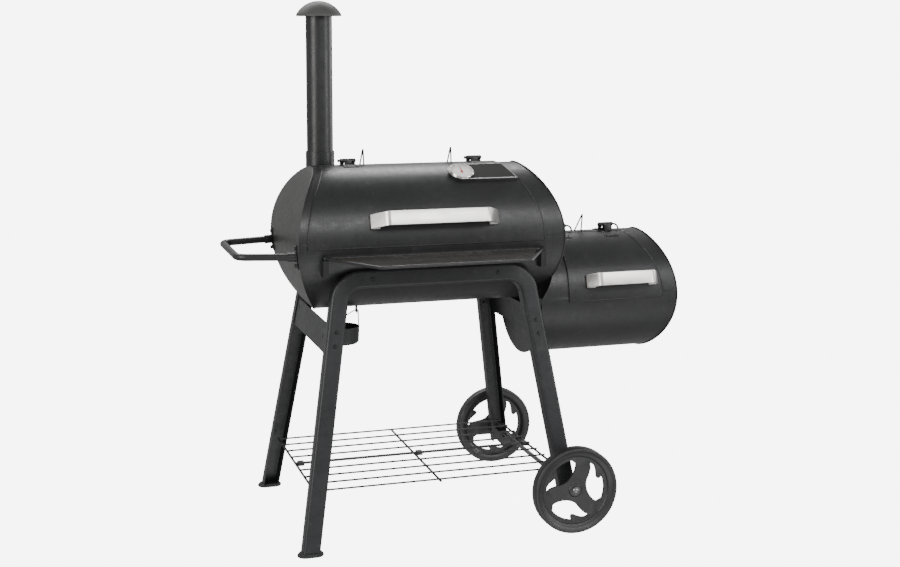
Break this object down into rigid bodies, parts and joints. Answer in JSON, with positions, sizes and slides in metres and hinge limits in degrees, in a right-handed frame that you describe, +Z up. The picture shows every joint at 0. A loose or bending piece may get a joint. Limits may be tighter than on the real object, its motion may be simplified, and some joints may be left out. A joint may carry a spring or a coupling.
{
  "type": "offset charcoal smoker",
  "caption": "Offset charcoal smoker: cylindrical cooking chamber and firebox with hinged lids, chimney, splayed stand on feet and wheels, lower wire shelf and front mesh shelf.",
  "frame": {"origin": "middle of the whole object's outline seen from above, on the floor", "axes": "+X from the handle end to the firebox end, +Y from the front to the back, +Z up"},
  "size_m": [1.2154, 0.6872, 1.3526],
  "materials": {
    "black_paint": "satin",
    "end_plate_paint": "satin",
    "cap_paint": "matte",
    "handle_steel": "satin",
    "zinc_steel": "satin",
    "pin_steel": "satin",
    "grate_steel": "satin",
    "axle_steel": "satin",
    "bright_trim": "gloss",
    "stem_steel": "satin",
    "dial_white": "matte",
    "needle_red": "gloss",
    "mesh_steel": "satin",
    "wheel_plastic": "satin",
    "clip_plastic": "matte",
    "wire_paint": "satin"
  },
  "bodies": {
    "smoker": {"cooking_chamber": "black_paint", "left_end_plate": "end_plate_paint", "right_end_plate": "end_plate_paint", "grate_rails": "black_paint", "cooking_grates": "grate_steel", "chimney_collar": "black_paint", "chimney_pipe": "black_paint", "grease_drain": "black_paint", "lid_stops": "black_paint", "hinge_base_leaves": "black_paint", "hinge_pins": "pin_steel", "side_handle": "black_paint", "side_handle_flanges": "black_paint", "front_shelf_brackets": "black_paint", "firebox_body": "black_paint", "firebox_left_plate": "black_paint", "firebox_right_plate": "end_plate_paint", "charcoal_grate": "grate_steel", "air_slider_rails": "black_paint", "front_beam": "black_paint", "rear_beam": "black_paint", "front_left_elbow": "black_paint", "front_right_elbow": "black_paint", "rear_left_elbow": "black_paint", "rear_right_elbow": "black_paint", "front_left_leg": "black_paint", "front_right_leg": "black_paint", "rear_left_leg": "black_paint", "rear_right_leg": "black_paint", "left_feet": "black_paint", "left_side_plate": "black_paint", "right_side_plate": "black_paint", "frame_screws": "zinc_steel", "axle": "axle_steel", "axle_fittings": "axle_steel", "bottom_shelf_front": "wire_paint", "bottom_shelf_rear": "wire_paint", "bottom_shelf_clips": "clip_plastic"},
    "chamber_lid": {"chamber_lid": "black_paint", "chamber_lid_handle": "handle_steel", "chamber_handle_screws": "zinc_steel", "chamber_hinge_leaves": "black_paint", "thermometer_case": "black_paint", "thermometer_stem": "stem_steel", "thermometer_dial": "dial_white", "thermometer_bezel": "bright_trim", "badge_trim": "bright_trim"},
    "needle": {"thermometer_needle": "needle_red"},
    "firebox_lid": {"firebox_lid": "black_paint", "firebox_lid_handle": "handle_steel", "firebox_handle_screws": "zinc_steel", "firebox_hinge_leaves": "black_paint"},
    "chimney_cap": {"chimney_cap": "cap_paint"},
    "front_wheel": {"front_wheel": "wheel_plastic"},
    "rear_wheel": {"rear_wheel": "wheel_plastic"},
    "air_slider": {"air_slider": "black_paint"},
    "grease_cup": {"grease_cup": "black_paint", "grease_bail": "zinc_steel"},
    "front_shelf": {"front_shelf_frame": "black_paint", "front_shelf_mesh": "mesh_steel"}
  },
  "joints": [
    {"name": "chamber_lid_hinge", "type": "hinge", "parent": "smoker", "child": "chamber_lid", "pos_m": [-0.10665, 0.0385, 0.942], "axis": [-1, 0, 0], "range_deg": [0, 100]},
    {"name": "thermometer_needle_turn", "type": "hinge", "parent": "chamber_lid", "child": "needle", "pos_m": [-0.00765, -0.07164, 0.91603], "axis": [0, -0.4695, 0.8829], "range_deg": [-120, 120]},
    {"name": "firebox_lid_hinge", "type": "hinge", "parent": "smoker", "child": "firebox_lid", "pos_m": [0.36335, 0.0045, 0.7516], "axis": [-1, 0, 0], "range_deg": [0, 112]},
    {"name": "chimney_cap_slide", "type": "slide", "parent": "smoker", "child": "chimney_cap", "axis": [0, 0, 1], "range_m": [-0.012, 0.02]},
    {"name": "front_wheel_turn", "type": "hinge", "parent": "smoker", "child": "front_wheel", "pos_m": [0.22835, -0.2901, 0.1124], "axis": [0, 1, 0], "continuous": true},
    {"name": "rear_wheel_turn", "type": "hinge", "parent": "smoker", "child": "rear_wheel", "pos_m": [0.22835, 0.3271, 0.1124], "axis": [0, 1, 0], "continuous": true},
    {"name": "air_slider_slide", "type": "slide", "parent": "smoker", "child": "air_slider", "axis": [0, 1, 0], "range_m": [0, 0.02]},
    {"name": "grease_cup_swing", "type": "hinge", "parent": "smoker", "child": "grease_cup", "pos_m": [-0.26765, 0.0185, 0.549], "axis": [1, 0, 0], "range_deg": [-25, 25]},
    {"name": "front_shelf_lift", "type": "slide", "parent": "smoker", "child": "front_shelf", "axis": [0, 0, 1], "range_m": [0, 0.035]}
  ]
}
